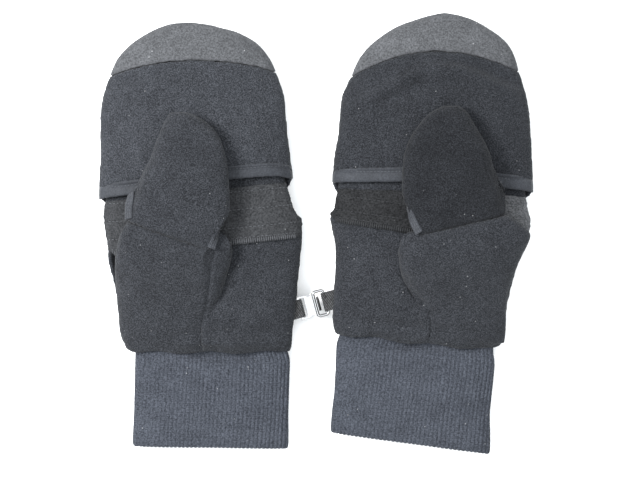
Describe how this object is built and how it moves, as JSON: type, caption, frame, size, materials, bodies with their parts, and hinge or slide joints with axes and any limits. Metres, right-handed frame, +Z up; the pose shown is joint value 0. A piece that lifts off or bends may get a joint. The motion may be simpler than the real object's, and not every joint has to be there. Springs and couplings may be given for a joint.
{
  "type": "convertible flip-top mittens",
  "caption": "Pair of fleece mittens whose finger caps and thumb caps fold back to bare the fingers, with rib-knit cuffs and a metal clip that joins the two.",
  "frame": {"origin": "middle of the pair's footprint, on the table that the backs of the mittens rest on", "axes": "+X from the left-hand mitten to the right-hand one, +Y from the cuffs to the fingertips, +Z up from the table through the palms"},
  "size_m": [0.2616, 0.2626, 0.0424],
  "materials": {
    "fleece": "brushed fleece with a short soft pile, matt",
    "rib_knit": "vertical rib knit, matt",
    "suede_patch": "brushed suede-like microfibre with rows of stitching",
    "binding_tape": "smooth folded binding tape, slight sheen",
    "webbing": "narrow woven webbing with a slight shine",
    "nickel": "polished nickel plate"
  },
  "bodies": {
    "left_hand": {"left_cuff": "rib_knit", "left_back_panel": "fleece", "left_palm_panel": "fleece", "left_palm_patch": "suede_patch", "left_thumb_gusset": "fleece", "left_index_stall": "fleece", "left_middle_stall": "fleece", "left_ring_stall": "fleece", "left_little_stall": "fleece", "left_stall_hems": "binding_tape", "left_thumb_stall": "fleece", "left_thumb_stall_hem": "binding_tape", "left_clip_tab": "webbing"},
    "left_cap": {"left_cap_back": "fleece", "left_cap_palm": "fleece", "left_cap_tip_patch": "suede_patch", "left_cap_binding": "binding_tape"},
    "left_thumb_cap": {"left_thumb_cap_back": "fleece", "left_thumb_cap_pad": "fleece", "left_thumb_cap_binding": "binding_tape"},
    "right_hand": {"right_cuff": "rib_knit", "right_back_panel": "fleece", "right_palm_panel": "fleece", "right_palm_patch": "suede_patch", "right_thumb_gusset": "fleece", "right_index_stall": "fleece", "right_middle_stall": "fleece", "right_ring_stall": "fleece", "right_little_stall": "fleece", "right_stall_hems": "binding_tape", "right_thumb_stall": "fleece", "right_thumb_stall_hem": "binding_tape", "right_clip_tab": "webbing"},
    "right_cap": {"right_cap_back": "fleece", "right_cap_palm": "fleece", "right_cap_tip_patch": "suede_patch", "right_cap_binding": "binding_tape"},
    "right_thumb_cap": {"right_thumb_cap_back": "fleece", "right_thumb_cap_pad": "fleece", "right_thumb_cap_binding": "binding_tape"},
    "hook": {"clip_hook": "nickel"},
    "ring": {"clip_ring": "nickel"}
  },
  "joints": [
    {"name": "left_cap_flip", "type": "hinge", "parent": "left_hand", "child": "left_cap", "pos_m": [-0.066, 0.014, 0], "axis": [-1, 0, 0], "range_deg": [0, 175], "deforming": ["left_cap_palm", "left_cap_binding"]},
    {"name": "left_thumb_flip", "type": "hinge", "parent": "left_hand", "child": "left_thumb_cap", "pos_m": [-0.0838, -0.00265, 0.0422], "axis": [0.9424, -0.3345, 0], "range_deg": [0, 150]},
    {"name": "clip_hook_swing", "type": "hinge", "parent": "left_hand", "child": "hook", "pos_m": [-0.0094, -0.045, 0.009], "axis": [0.2588, -0.9659, 0], "range_deg": [0, 40]},
    {"name": "clip_release", "type": "slide", "parent": "hook", "child": "ring", "axis": [-0.3304, -0.0885, 0.9397], "range_m": [0, 0.02]},
    {"name": "right_swing", "type": "hinge", "parent": "ring", "child": "right_hand", "pos_m": [0.00584, -0.04091, 0.0105], "axis": [0.2588, -0.9659, 0], "range_deg": [0, 40]},
    {"name": "right_cap_flip", "type": "hinge", "parent": "right_hand", "child": "right_cap", "pos_m": [0.066, 0.014, 0], "axis": [-1, 0, 0], "range_deg": [0, 175], "deforming": ["right_cap_palm", "right_cap_binding"]},
    {"name": "right_thumb_flip", "type": "hinge", "parent": "right_hand", "child": "right_thumb_cap", "pos_m": [0.0835, 0.00375, 0.0422], "axis": [0.9724, 0.2334, 0], "range_deg": [0, 150]}
  ]
}
